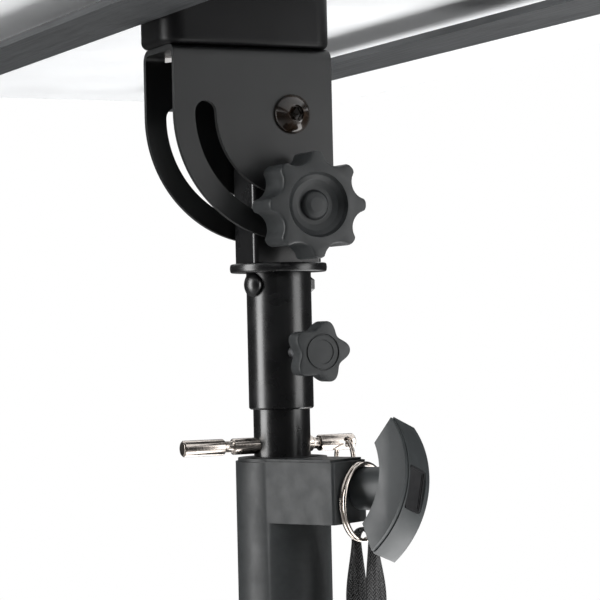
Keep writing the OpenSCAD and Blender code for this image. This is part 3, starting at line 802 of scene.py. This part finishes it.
def grip_outline(sizes, reach):
    """The (x, y) outline of the grip, x outward: two arcs joined by slanted ends.

    The two ends lie on lines that start at one point of the axis, corner_at, and lean by the slope.
    """
    outer_at = reach - sizes.arc_r
    inner_at = reach - sizes.depth - sizes.hollow_r
    corner_at = reach - sizes.depth - 20.8 * MM
    slope = atan2(106.7, 60)

    def meets(centre, radius):
        gap = corner_at - centre
        run = -gap * cos(slope) + sqrt(radius ** 2 - (gap * sin(slope)) ** 2)
        return corner_at + run * cos(slope), run * sin(slope)

    def arc(centre, radius, steps):
        x_end, y_end = meets(centre, radius)
        half = atan2(y_end, x_end - centre)
        return [(centre + radius * cos(half * t), radius * sin(half * t))
                for t in (1 - 2 * step / steps for step in range(steps + 1))]

    return arc(outer_at, sizes.arc_r, 40) + arc(inner_at, sizes.hollow_r, 28)[::-1]


class LIGHT_OT_clamp_handle(Operator):
    """T-shaped clamp handle: a curved grip with a parting groove, on a round hub"""

    bl_idname = "light.clamp_handle"
    bl_label = "Clamp handle"

    def execute(self, context):
        sizes = handle_sizes()
        groove_from, groove_deep, groove_w, lip = 3.2 * MM, 0.7 * MM, 0.8 * MM, 2.4 * MM
        hub_sinks, pocket_deep, pocket_w, pocket_l = 3 * MM, 2.5 * MM, 18.8 * MM, 27 * MM
        plate_w, plate_l, plate_t, plate_r = 17.6 * MM, 26 * MM, 1.3 * MM, 2.6 * MM
        screw_r, screw_stops = 5.1 * MM, 12 * MM
        mesh = NODES["handle_grip"].data
        along = [(vertex.co - HANDLE).dot(HANDLE_OUT) for vertex in mesh.vertices]
        hub_start, reach = min(along), max(along)
        outline = grip_outline(sizes, reach)
        half = sizes.thickness / 2
        grip = from_outline("handle_grip_body", [(x, y, -half) for x, y in outline])
        layers = [(sizes.thickness - groove_from, 0.0), (0.0, groove_deep), (groove_w, 0.0),
                  (0.0, -groove_deep), (lip, 0.0)]
        open_mesh(grip)
        for rise, inward in layers:
            if rise:
                bpy.ops.mesh.extrude_region_move(TRANSFORM_OT_translate={"value": (0, 0, rise)})
            elif inward > 0:
                bpy.ops.mesh.inset(thickness=inward, use_outset=False)
            else:
                bpy.ops.mesh.inset(thickness=-inward, use_outset=True)
        tidy_faces(grip)
        soften(grip, 0.9 * MM, 3, 50)
        seat(grip, axes_at((0, 0, 0), -Y_AXIS, X_AXIS))
        hub_end = reach - sizes.depth + hub_sinks
        hub_line = eased([(0, hub_start), (sizes.hub_r, hub_start), (sizes.hub_r, hub_end), (0, hub_end)], MM)
        hub = turned("hub", hub_line)
        seat(hub, axes_at((0, 0, 0), X_AXIS, Y_AXIS))
        cut(grip, hub, "UNION")
        bpy.ops.mesh.primitive_cube_add(size=1, location=(reach, 0, 0),
                                        scale=(2 * pocket_deep, pocket_w, pocket_l))
        pocket = bpy.context.object
        soften(pocket, 2.0 * MM, 3)
        cut(grip, pocket)
        hole = drill("screw hole", screw_r, 0, reach - screw_stops, 48)
        seat(hole, axes_at((0, 0, 0), X_AXIS, Y_AXIS))
        cut(grip, hole)
        smooth(grip, 36)
        turned_grip = axes_at(HANDLE, UP, HANDLE_OUT) @ Matrix.Rotation(sizes.turn, 4, "X")
        seat(grip, turned_grip)
        # The grip takes the grey nylon painted lighter, for the light that falls on it.
        hand_over(grip, "handle", FINISHES["grip"], "grey_moulding", "handle_grip")
        plate = slab("handle_badge_plate", rounded(plate_w, plate_l, plate_r), 0, plate_t)
        pick_faces(plate, lambda middle, way: way.z > 0.9)
        for inward, rise in ((1.3 * MM, -0.5 * MM), (1.0 * MM, -0.35 * MM)):
            bpy.ops.mesh.inset(thickness=inward)
            bpy.ops.mesh.extrude_region_move(TRANSFORM_OT_translate={"value": (0, 0, rise)})
        bpy.ops.object.mode_set(mode="OBJECT")
        smooth(plate, 20)
        seat(plate, turned_grip @ axes_at((reach - pocket_deep, 0, 0), X_AXIS, Y_AXIS))
        hand_over(plate, "handle", FINISHES["small"], "black_moulding", "handle_badge")
        return {"FINISHED"}


def split_ring(name, radius, wire, turns=2.0, steps=72):
    """A ring of flat-wound wire, lying in the XY plane: two turns that step over at one place."""
    curve = bpy.data.curves.new(name, "CURVE")
    curve.dimensions = "3D"
    curve.bevel_depth = wire
    curve.bevel_resolution = 4
    curve.use_fill_caps = True
    spline = curve.splines.new("POLY")
    count = int(steps * turns)
    spline.points.add(count)
    gap = wire * 2.04
    crosses_from, crossing, ends_short = 0.92, 0.16, 0.996
    for i in range(count + 1):
        turn = i / steps
        step_over = min(1.0, max(0.0, (turn - crosses_from) / crossing))
        rise = gap * (3 * step_over ** 2 - 2 * step_over ** 3) - gap / 2
        angle = 2 * pi * (turn - 1.0) * ends_short
        spline.points[i].co = (radius * cos(angle), radius * sin(angle), rise, 1.0)
    piece = bpy.data.objects.new(name, curve)
    bpy.context.scene.collection.objects.link(piece)
    take(piece)
    bpy.ops.object.convert(target="MESH")
    smooth(piece, 40)
    return piece


class LIGHT_OT_rings(Operator):
    """The two split rings, each wound from two turns of wire"""

    bl_idname = "light.rings"
    bl_label = "Split rings"

    def execute(self, context):
        strap_wire, pin_wire = 1.2 * MM, 0.75 * MM
        low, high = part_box("hanging_ring")
        ring = split_ring("hanging_ring_wire", (high.z - low.z) / 2 - 1.35 * MM, strap_wire)
        seat(ring, axes_at((low + high) / 2, HANDLE_OUT, -UP))
        hand_over(ring, "hanger", FINISHES["nickel"], "nickel", "hanging_ring")
        low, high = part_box("pin_ring")
        small = split_ring("pin_ring_wire", (high.z - low.z) / 2 - 0.8 * MM, pin_wire)
        seat(small, axes_at((low + high) / 2, X_AXIS, -UP))
        hand_over(small, "pin_ring", FINISHES["nickel"], "nickel", "pin_ring")
        return {"FINISHED"}


class LIGHT_OT_webbing(Operator):
    """Loop of woven strap, gathered where it passes over the hanging ring"""

    bl_idname = "light.webbing"
    bl_label = "Webbing loop"

    def execute(self, context):
        sizes = handle_sizes()
        low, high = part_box("strap")
        middle = (low + high) / 2
        fold, gathered, narrowest = 7.1 * MM, 42 * MM, 0.34
        crease_deep, crease_share, sway_wide, sway_turns, sway_twist = 1.7 * MM, 0.8, 0.7 * MM, 2.6, 120
        straight = high.z - low.z - 2 * (fold + sizes.webbing_t / 2)
        total = 2 * straight + 2 * pi * fold
        bpy.ops.mesh.primitive_grid_add(x_subdivisions=14, y_subdivisions=220, size=1)
        strap = bpy.context.object
        strap.name = "strap_webbing"
        for vertex in strap.data.vertices:
            across = vertex.co.x * sizes.webbing_w
            run = (vertex.co.y + 0.5) * total
            if run < straight:
                out, height = -fold, run
            elif run < straight + pi * fold:
                bend = (run - straight) / fold
                out, height = -fold * cos(bend), straight + fold * sin(bend)
            elif run < 2 * straight + pi * fold:
                out, height = fold, 2 * straight + pi * fold - run
            else:
                bend = (run - 2 * straight - pi * fold) / fold
                out, height = fold * cos(bend), -fold * sin(bend)
            drawn = min(1.0, max(0.0, (straight + fold - height) / gathered))
            ease = drawn * drawn * (3 - 2 * drawn)
            width = narrowest + (1 - narrowest) * ease
            crease = (1 - ease) * crease_deep * cos(2 * pi * vertex.co.x)
            sway = sway_wide * sin(height / straight * sway_turns + out * sway_twist) * drawn
            side = 1 if out > 0 else -1
            vertex.co = (out + side * crease * crease_share + sway, across * width, height - straight / 2)
        modify(strap, "SOLIDIFY", thickness=sizes.webbing_t, offset=0.0)
        tidy_faces(strap)
        smooth(strap, 50)
        seat(strap, axes_at(middle, UP, HANDLE_OUT))
        hand_over(strap, "hanger", FINISHES["webbing"], "webbing", "strap")
        return {"FINISHED"}


class LIGHT_OT_safety_pin(Operator):
    """Turned pin with two necks, chamfered shoulders and a cross hole for its ring"""

    bl_idname = "light.safety_pin"
    bl_label = "Safety pin"

    def execute(self, context):
        low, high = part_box("safety_pin")
        r, end = (high.z - low.z) / 2, high.x - low.x
        neck = r - 1.5 * MM
        ring_hole_r = 3.3 * MM
        steps = [(0, 0), (r - 0.9 * MM, 0), (r, 0.9 * MM), (r, 26.6 * MM), (r - 0.8 * MM, 27.4 * MM),
                 (neck, 27.6 * MM), (neck, 32.6 * MM), (r - 0.9 * MM, 32.8 * MM), (r, 33.6 * MM),
                 (r, 86.6 * MM), (r - 0.6 * MM, 87.2 * MM), (neck, 87.4 * MM), (neck, 91.4 * MM),
                 (r - 0.6 * MM, 91.6 * MM), (r, 92.2 * MM),
                 (r, end - 0.8 * MM), (r - 0.8 * MM, end), (0, end)]
        pin = turned("safety_pin_bar", eased(steps, 0.25 * MM, 3), 64)
        seat(pin, axes_at((low.x, 0, (low.z + high.z) / 2), X_AXIS, UP))
        hole = drill("cross hole", ring_hole_r, -8 * MM, 8 * MM, 32)
        seat(hole, axes_at(PIN_RING, Y_AXIS, X_AXIS))
        cut(pin, hole)
        smooth(pin, 32)
        hand_over(pin, "pin", FINISHES["pin"], "nickel", "safety_pin")
        return {"FINISHED"}


class LIGHT_OT_pivot_screw(Operator):
    """Domed screw head with a round-rimmed hexagon socket"""

    bl_idname = "light.pivot_screw"
    bl_label = "Pivot screw"

    def execute(self, context):
        low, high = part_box("pivot_bolt")
        dome_r = (high.z - low.z) / 2
        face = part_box("tilt_bracket")[0].y
        rise = face - low.y
        arc = [(0, rise)]
        sweep, steps, rim_rise = radians(62), 12, 1.3 * MM
        for step in range(1, steps + 1):
            angle = step / steps * sweep
            arc.append((dome_r * 0.985 * sin(angle) / sin(sweep),
                        rise - (rise - rim_rise) * (1 - cos(angle)) / (1 - cos(sweep))))
        arc += [(dome_r, 0.8 * MM), (dome_r - 0.3 * MM, 0.35 * MM), (5 * MM, 0.35 * MM),
                (5 * MM, face - high.y + 0.6 * MM), (4.4 * MM, face - high.y), (0, face - high.y)]
        screw = turned("pivot_screw", arc)
        rim = [(0, rise - 2.6 * MM), (4.8 * MM, rise - 2.6 * MM), (5.2 * MM, rise - 0.4 * MM),
               (5.5 * MM, rise + MM), (0, rise + MM)]
        cut(screw, turned("socket rim", rim, 64))
        key_r, key_end, drill_end = 4.5 * MM, rise - 5 * MM, rise - 8 * MM
        cut(screw, turned("hexagon", [(0, drill_end), (key_r, key_end), (key_r, rise), (0, rise)], 6))
        smooth(screw, 32)
        seat(screw, axes_at((PIVOT.x, face, PIVOT.z), -Y_AXIS, X_AXIS))
        hand_over(screw, "head", FINISHES["screw"], "blackened_steel", "pivot_bolt")
        return {"FINISHED"}


class LIGHT_OT_pole_socket(Operator):
    """Pole socket with its screw hole, and the flange, upright and stop screw, with rounded edges"""

    bl_idname = "light.pole_socket"
    bl_label = "Pole socket and upright"

    def execute(self, context):
        low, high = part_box("pole_socket")
        r, top, bore = (high.x - low.x) / 2, high.z - low.z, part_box("post")[1].x + 0.1 * MM
        line = [(bore, 0.6 * MM), (bore + 0.5 * MM, 0), (r - 1.0 * MM, 0), (r, 1.0 * MM),
                (r, top), (bore, top), (bore, 0.6 * MM)]
        tube = turned("pole_socket_tube", eased(line, 0.4 * MM, 3), 128)
        hole = drill("screw hole", 4.1 * MM, 0, 2 * r, 48)
        seat(hole, axes_at((0, 0, STAR_SCREW.z - low.z), -Y_AXIS, X_AXIS))
        cut(tube, hole)
        smooth(tube)
        seat(tube, Matrix.Translation((0, 0, low.z)))
        hand_over(tube, "head", FINISHES["lacquer"], "black_lacquer", "pole_socket")
        low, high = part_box("socket_flange")
        r, rise = (high.x - low.x) / 2, high.z - low.z
        line = eased([(0, 0), (r - 0.4 * MM, 0), (r, rise / 2), (r - 0.4 * MM, rise), (0, rise)], 1.8 * MM, 6)
        flange = turned("socket_flange_disc", line, 128)
        seat(flange, Matrix.Translation((0, 0, low.z)))
        smooth(flange, 40)
        hand_over(flange, "head", FINISHES["lacquer"], "black_lacquer", "socket_flange")
        upright = finished_copy("yoke", "upright_tube", 0.25 * MM)
        hand_over(upright, "head", FINISHES["lacquer"], "black_lacquer", "yoke")
        screw = finished_copy("stop_bolt", "stop_screw", 0.5 * MM, 3)
        hand_over(screw, "head", FINISHES["lacquer"], "blackened_steel", "stop_bolt")
        return {"FINISHED"}


class LIGHT_OT_bracket(Operator):
    """Folded bracket with rounded sheet edges"""

    bl_idname = "light.bracket"
    bl_label = "Tilt bracket"

    def execute(self, context):
        bracket = finished_copy("tilt_bracket", "tilt_bracket_sheet", 0.45 * MM, 3)
        hand_over(bracket, "panel", FINISHES["bracket"], "black_lacquer", "tilt_bracket")
        return {"FINISHED"}


class LIGHT_OT_collar(Operator):
    """Moulded clamp collar with rounded edges"""

    bl_idname = "light.collar"
    bl_label = "Clamp collar"

    def execute(self, context):
        collar = finished_copy("clamp_collar", "clamp_collar_moulding", 0.9 * MM, 3, 40)
        hand_over(collar, "stand", FINISHES["nylon"], "grey_moulding", "clamp_collar")
        return {"FINISHED"}


def side_hole(node, radius, deep, face_y):
    """A round cutter centred on this part, from this depth inside the far side to a little outside it."""
    low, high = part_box(node)
    middle = (low + high) / 2
    hole = drill(node + " hole", radius, 0, deep + 4 * MM, 48)
    seat(hole, axes_at((middle.x, face_y - deep, middle.z), Y_AXIS, X_AXIS))
    return hole


class LIGHT_OT_driver_block(Operator):
    """Driver block with deep round corners, a rolled bottom edge and openings for its controls"""

    bl_idname = "light.driver_block"
    bl_label = "Driver block"

    def execute(self, context):
        low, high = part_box("driver_block")
        size = high - low
        middle = (low + high) / 2
        bpy.ops.mesh.primitive_cube_add(size=1, location=middle, scale=size)
        block = bpy.context.object
        block.name = "driver_block_shell"
        bpy.ops.object.transform_apply(location=True, rotation=True, scale=True)
        corner_r, roll_r, rocker_w, rocker_h = 13 * MM, 4.2 * MM, 21.2 * MM, 14.2 * MM
        pick_edges(block, lambda a, b: abs(a.z - b.z) > size.z / 2)
        bpy.ops.mesh.bevel(offset=corner_r, segments=12, affect="EDGES")
        pick_edges(block, lambda a, b: max(a.z, b.z) < low.z + TINY)
        bpy.ops.mesh.bevel(offset=roll_r, segments=6, affect="EDGES")
        bpy.ops.object.mode_set(mode="OBJECT")
        cut(block, side_hole("power_inlet", 6.15 * MM, 10 * MM, high.y))
        rocker_low, rocker_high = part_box("rocker_frame")
        rocker = (rocker_low + rocker_high) / 2
        bpy.ops.mesh.primitive_cube_add(size=1, location=(rocker.x, high.y, rocker.z),
                                        scale=(rocker_w, 20 * MM, rocker_h))
        cut(block, bpy.context.object)
        cut(block, side_hole("dimmer_shaft", 4.1 * MM, 8 * MM, high.y))
        smooth(block, 35)
        hand_over(block, "panel", FINISHES["block"], "driver_shell", "driver_block")
        trim = finished_copy("rocker_frame", "rocker_trim", 0.5 * MM, 2)
        hand_over(trim, "panel", FINISHES["small"], "black_moulding", "rocker_frame")
        return {"FINISHED"}


class LIGHT_OT_rails(Operator):
    """Two flat rails and their screws, with broken edges"""

    bl_idname = "light.rails"
    bl_label = "Rails"

    def execute(self, context):
        for node in ("rail_left", "rail_right"):
            rail = finished_copy(node, node + "_bar", 0.45 * MM, 2)
            hand_over(rail, "panel", FINISHES["rail"], "rail_anodised", node)
        screws = finished_copy("rail_screws", "rail_screw_heads", 0.4 * MM, 2)
        hand_over(screws, "panel", FINISHES["screw"], "blackened_steel", "rail_screws")
        return {"FINISHED"}


class LIGHT_OT_panel_shell(Operator):
    """White rear pan and silver front frame with broken edges"""

    bl_idname = "light.panel_shell"
    bl_label = "Panel shell"

    def execute(self, context):
        pan = finished_copy("rear_pan", "rear_pan_shell", 0.5 * MM, 3)
        hand_over(pan, "panel", FINISHES["pan"], "pan_white", "rear_pan")
        rim = finished_copy("panel_frame", "panel_frame_rim", 0.5 * MM, 2)
        hand_over(rim, "panel", FINISHES["silver"], "frame_silver", "panel_frame")
        return {"FINISHED"}


def soft_light(name, place, aim, width, tall, power):
    """A rectangular white light that the camera doesn't see."""
    data = bpy.data.lights.new(name, "AREA")
    data.shape = "RECTANGLE"
    data.size, data.size_y = width, tall
    data.energy = power
    light = bpy.data.objects.new(name, data)
    bpy.context.scene.collection.objects.link(light)
    back = (Vector(place) - Vector(aim)).normalized()
    light.matrix_world = axes_at(place, back, Y_AXIS if abs(back.z) > 0.9 else UP.cross(back))
    light.visible_camera = False


def around(azimuth, distance, height):
    """A place this many degrees to the right of the camera, as seen from the post."""
    yaw = bpy.context.scene.light_stage.yaw + radians(azimuth)
    return Vector((sin(yaw) * distance, -cos(yaw) * distance, height))


class LIGHT_OT_stage(Operator):
    """Camera, pale floor, soft lights and white surroundings"""

    bl_idname = "light.stage"
    bl_label = "Camera and studio"

    def execute(self, context):
        stage = context.scene.light_stage
        yaw, pitch = stage.yaw, stage.pitch
        back = Vector((sin(yaw) * cos(pitch), -cos(yaw) * cos(pitch), sin(pitch)))
        level = Vector((cos(yaw), sin(yaw), 0))
        rise = back.cross(level)
        right = cos(stage.roll) * level + sin(stage.roll) * rise
        data = bpy.data.cameras.new("front camera")
        data.lens = stage.lens_mm
        data.sensor_width = 36
        data.clip_start = 0.05
        camera = bpy.data.objects.new("front camera", data)
        context.scene.collection.objects.link(camera)
        camera.matrix_world = axes_at(PIVOT + Vector(stage.stand_off), back, right)
        context.scene.camera = camera
        context.scene.view_settings.view_transform = "Standard"

        ground = Finish("pale floor", (0.45, 0.45, 0.45), 0.8, specular=0.1)
        ground.mottle((0.43, 0.43, 0.43), 3)
        glow = ground.tree.nodes.new("ShaderNodeEmission")
        glow.inputs["Color"].default_value = (1, 1, 1, 1)
        seen_ray = ground.tree.nodes.new("ShaderNodeLightPath")
        lit = ground.tree.nodes.new("ShaderNodeMixShader")
        ground.tree.links.new(seen_ray.outputs["Is Camera Ray"], lit.inputs["Fac"])
        ground.tree.links.new(ground.shader.outputs["BSDF"], lit.inputs[1])
        ground.tree.links.new(glow.outputs["Emission"], lit.inputs[2])
        ground.tree.links.new(lit.outputs["Shader"], ground.tree.nodes["Material Output"].inputs["Surface"])
        bpy.ops.mesh.primitive_grid_add(x_subdivisions=4, y_subdivisions=4, size=stage.floor_w)
        floor = context.object
        floor.name = "studio_floor"
        floor.data.materials.append(ground.material)

        aim = Vector((0, 0, 0.9))
        soft_light("left strip", around(-75, 1.9, 0.95), aim, 0.8, 2.0, 50)
        soft_light("right strip", around(68, 1.9, 0.95), aim, 1.0, 2.0, 27)
        soft_light("floor bounce", (0.1, 0, 0.03), aim, 1.7, 2.2, 40)
        soft_light("top", (0, 0, 3.2), aim, 2.5, 2.5, 30)

        surroundings = 0.06
        world = bpy.data.worlds.new("studio")
        context.scene.world = world
        world.use_nodes = True
        tree = world.node_tree
        seen = tree.nodes["Background"]
        seen.inputs["Color"].default_value = (1, 1, 1, 1)
        seen.inputs["Strength"].default_value = 1.0
        around_us = tree.nodes.new("ShaderNodeBackground")
        around_us.inputs["Color"].default_value = (1, 1, 1, 1)
        around_us.inputs["Strength"].default_value = surroundings
        path = tree.nodes.new("ShaderNodeLightPath")
        choose = tree.nodes.new("ShaderNodeMixShader")
        tree.links.new(path.outputs["Is Camera Ray"], choose.inputs["Fac"])
        tree.links.new(around_us.outputs["Background"], choose.inputs[1])
        tree.links.new(seen.outputs["Background"], choose.inputs[2])
        tree.links.new(choose.outputs["Shader"], tree.nodes["World Output"].inputs["Surface"])
        return {"FINISHED"}


OPERATORS = (
    LIGHT_OT_finishes, LIGHT_OT_stage, LIGHT_OT_tilt_knob, LIGHT_OT_star_knob, LIGHT_OT_clamp_handle,
    LIGHT_OT_rings, LIGHT_OT_webbing, LIGHT_OT_safety_pin, LIGHT_OT_pivot_screw, LIGHT_OT_pole_socket,
    LIGHT_OT_bracket, LIGHT_OT_collar, LIGHT_OT_driver_block, LIGHT_OT_rails, LIGHT_OT_panel_shell,
)


class LIGHT_PT_sidebar(Panel):
    """Lists the steps that build the light"""

    bl_idname = "LIGHT_PT_sidebar"
    bl_label = "Panel Light"
    bl_space_type = "VIEW_3D"
    bl_region_type = "UI"
    bl_category = "Panel Light"

    def draw(self, context):
        for operator in OPERATORS:
            self.layout.operator(operator.bl_idname)


SETTINGS = {"light_knobs": KnobSizes, "light_handle": HandleSizes, "light_paints": PaintColours,
            "light_stage": StageSizes}


def register():
    for kind in (*SETTINGS.values(), *OPERATORS, LIGHT_PT_sidebar):
        bpy.utils.register_class(kind)
    for name, kind in SETTINGS.items():
        setattr(bpy.types.Scene, name, PointerProperty(type=kind))


def unregister():
    for name in SETTINGS:
        delattr(bpy.types.Scene, name)
    for kind in (LIGHT_PT_sidebar, *reversed(OPERATORS), *SETTINGS.values()):
        bpy.utils.unregister_class(kind)


def main():
    register()
    for operator in OPERATORS:
        group, name = operator.bl_idname.split(".")
        if "FINISHED" not in getattr(getattr(bpy.ops, group), name)():
            raise RuntimeError(operator.bl_label + " did not finish")


if __name__ == "__main__":
    main()
